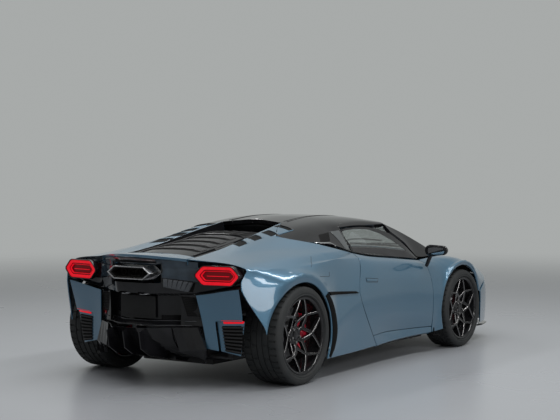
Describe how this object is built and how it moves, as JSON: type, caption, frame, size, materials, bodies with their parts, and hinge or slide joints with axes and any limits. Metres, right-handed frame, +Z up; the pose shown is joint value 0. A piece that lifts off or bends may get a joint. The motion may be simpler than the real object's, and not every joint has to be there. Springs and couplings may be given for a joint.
{
  "type": "supercar",
  "caption": "Low mid-engined two-seat supercar whose wheels roll and steer, with doors, a front bonnet and an engine cover that open.",
  "frame": {"origin": "on the ground under the middle of the body's length and width", "axes": "+X forward, +Y to the car's left, +Z up"},
  "size_m": [4.7055, 2.252, 1.1988],
  "materials": {
    "paint": "gloss",
    "trim_black": "gloss",
    "matte_black": "matte",
    "glass": "gloss",
    "tyre": "matte",
    "wheel_black": "gloss",
    "cast_metal": "satin",
    "caliper_red": "gloss",
    "exhaust_metal": "satin",
    "lamp_red": "gloss",
    "lamp_clear": "gloss",
    "leather": "satin"
  },
  "bodies": {
    "body": {"tub": "matte_black", "engine": "cast_metal", "front_bumper": "paint", "front_splitter": "trim_black", "headlamps": "lamp_clear", "front_fender_left": "paint", "front_fender_right": "paint", "windscreen": "glass", "roof": "trim_black", "rear_fender_left": "paint", "rear_fender_right": "paint", "tail_panel": "paint", "rear_fascia": "trim_black", "exhaust_outlet": "exhaust_metal", "tail_lamps": "lamp_red", "plate_holder": "trim_black", "rear_bumper": "paint", "diffuser": "trim_black", "side_sills": "paint", "rear_window": "glass", "seats": "leather", "dashboard": "matte_black", "arch_liners": "matte_black", "front_suspension": "cast_metal", "rear_suspension": "cast_metal", "rear_calipers": "caliper_red"},
    "front_lid": {"bonnet": "paint"},
    "engine_lid": {"engine_cover": "trim_black"},
    "left_door": {"door_left": "paint", "door_glass_left": "glass", "mirror_left": "trim_black"},
    "right_door": {"door_right": "paint", "door_glass_right": "glass", "mirror_right": "trim_black"},
    "left_knuckle": {"knuckle_left": "cast_metal"},
    "right_knuckle": {"knuckle_right": "cast_metal"},
    "steering": {"steering_wheel": "matte_black"},
    "wheel_front_left": {"rim_front_left": "wheel_black", "tyre_front_left": "tyre"},
    "wheel_front_right": {"rim_front_right": "wheel_black", "tyre_front_right": "tyre"},
    "wheel_rear_left": {"rim_rear_left": "wheel_black", "tyre_rear_left": "tyre"},
    "wheel_rear_right": {"rim_rear_right": "wheel_black", "tyre_rear_right": "tyre"}
  },
  "joints": [
    {"name": "steer_left", "type": "hinge", "parent": "body", "child": "left_knuckle", "pos_m": [1.195, 0.786, 0.343], "axis": [0, 0, 1], "range_deg": [-30, 30]},
    {"name": "steer_right", "type": "hinge", "parent": "body", "child": "right_knuckle", "pos_m": [1.195, -0.786, 0.343], "axis": [0, 0, 1], "range_deg": [-30, 30]},
    {"name": "steering_wheel_turn", "type": "hinge", "parent": "body", "child": "steering", "pos_m": [0.56, 0.37, 0.705], "axis": [-0.9272, 0, 0.3746], "range_deg": [-450, 450]},
    {"name": "wheel_front_left_spin", "type": "hinge", "parent": "left_knuckle", "child": "wheel_front_left", "pos_m": [1.195, 0.861, 0.343], "axis": [0, 1, 0], "continuous": true},
    {"name": "wheel_front_right_spin", "type": "hinge", "parent": "right_knuckle", "child": "wheel_front_right", "pos_m": [1.195, -0.861, 0.343], "axis": [0, 1, 0], "continuous": true},
    {"name": "wheel_rear_left_spin", "type": "hinge", "parent": "body", "child": "wheel_rear_left", "pos_m": [-1.463, 0.835, 0.364], "axis": [0, 1, 0], "continuous": true},
    {"name": "wheel_rear_right_spin", "type": "hinge", "parent": "body", "child": "wheel_rear_right", "pos_m": [-1.463, -0.835, 0.364], "axis": [0, 1, 0], "continuous": true},
    {"name": "door_left_hinge", "type": "hinge", "parent": "body", "child": "left_door", "pos_m": [0.663, 0.968, 0.5], "axis": [0, 0, -1], "range_deg": [0, 65]},
    {"name": "door_right_hinge", "type": "hinge", "parent": "body", "child": "right_door", "pos_m": [0.663, -0.968, 0.5], "axis": [0, 0, 1], "range_deg": [0, 65]},
    {"name": "bonnet_hinge", "type": "hinge", "parent": "body", "child": "front_lid", "pos_m": [1.118, 0, 0.806], "axis": [0, -1, 0], "range_deg": [0, 50]},
    {"name": "engine_cover_hinge", "type": "hinge", "parent": "body", "child": "engine_lid", "pos_m": [-0.706, 0, 1.052], "axis": [0, 1, 0], "range_deg": [0, 40]}
  ],
  "couplings": [
    {"joint": "steer_right", "follows": "steer_left", "ratio": 1},
    {"joint": "steering_wheel_turn", "follows": "steer_left", "ratio": 15}
  ]
}
